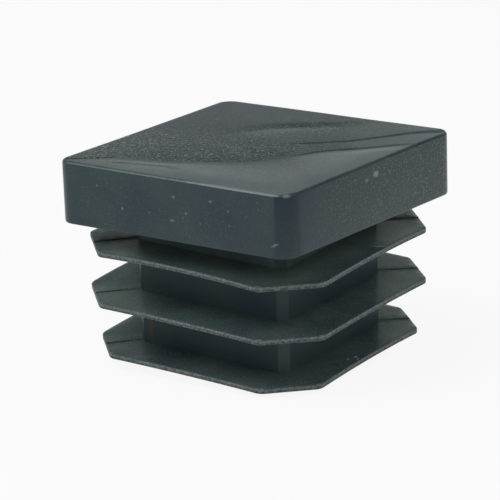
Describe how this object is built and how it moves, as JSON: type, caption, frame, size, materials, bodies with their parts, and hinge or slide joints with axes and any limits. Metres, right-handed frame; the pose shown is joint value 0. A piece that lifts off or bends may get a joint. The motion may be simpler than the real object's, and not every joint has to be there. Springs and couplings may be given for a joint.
{
  "type": "tube end cap",
  "caption": "Moulded plastic end cap for a square tube: a flat square head on a hollow square stem ringed by thin gripping fins.",
  "frame": {"origin": "centre of the open lower end of the stem, level with its edge, on the cap's centre line", "axes": "+Z along the centre line from the stem to the outer face of the head; +X and +Y square to the head's flat sides"},
  "size_m": [0.025, 0.025, 0.0186],
  "materials": {
    "end_cap": "very dark slate grey polyethylene, as moulded, slightly waxy"
  },
  "bodies": {
    "root": {"end_cap": "end_cap"}
  },
  "joints": []
}
